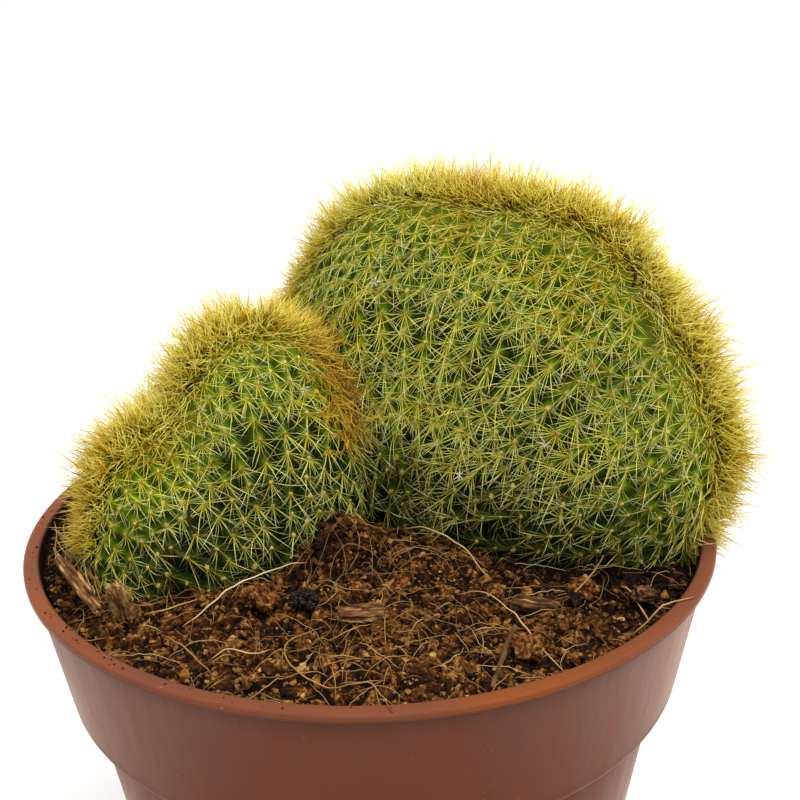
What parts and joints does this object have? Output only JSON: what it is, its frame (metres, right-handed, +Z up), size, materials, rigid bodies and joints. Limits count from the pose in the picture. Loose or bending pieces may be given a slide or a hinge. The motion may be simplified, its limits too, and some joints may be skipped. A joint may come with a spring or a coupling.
{
  "type": "potted crested cactus",
  "caption": "Crested golden ball cactus with two bristly fan-shaped lobes, growing in potting mix in a terracotta-coloured plastic pot with a deep collar.",
  "frame": {"origin": "centre of the pot's base, on the surface that the pot stands on", "axes": "+Z up along the pot's axis, -Y towards the front, where both lobes face, +X to the large lobe's side"},
  "size_m": [0.1356, 0.13, 0.1817],
  "materials": {
    "plastic_pot": "injection-moulded terracotta-coloured polypropylene, satin, slightly dusty",
    "potting_mix": "crumbly warm brown coir and bark potting mix, dry and matt",
    "cactus_stem": "waxy green cactus skin with low ribs, under pale golden spines",
    "bristles": "dense soft golden-yellow bristles",
    "bark": "rough brown bark",
    "coir": "matted orange-brown coir crumbs",
    "charcoal": "dull near-black charcoal",
    "fibre": "pale straw-coloured coir fibre"
  },
  "bodies": {
    "root": {"plastic_pot": "plastic_pot", "potting_mix": "potting_mix", "cactus_stem": "cactus_stem", "main_crest_bristles": "bristles", "side_crest_bristles": "bristles", "bark_chip_upright": "bark", "bark_sliver_left": "bark", "bark_chip_middle": "bark", "bark_chip_flat": "bark", "bark_chip_right": "bark", "twig_front": "bark", "coir_lump_orange": "coir", "coir_lump_heap": "coir", "coir_lump_front": "coir", "coir_lump_under": "coir", "charcoal_lump": "charcoal", "coir_fibre_1": "fibre", "coir_fibre_2": "fibre", "coir_fibre_3": "fibre", "coir_fibre_4": "fibre", "coir_fibre_5": "fibre", "coir_fibre_6": "fibre", "coir_fibre_7": "fibre", "coir_fibre_8": "fibre", "coir_fibre_9": "fibre", "coir_fibre_10": "fibre"}
  },
  "joints": []
}
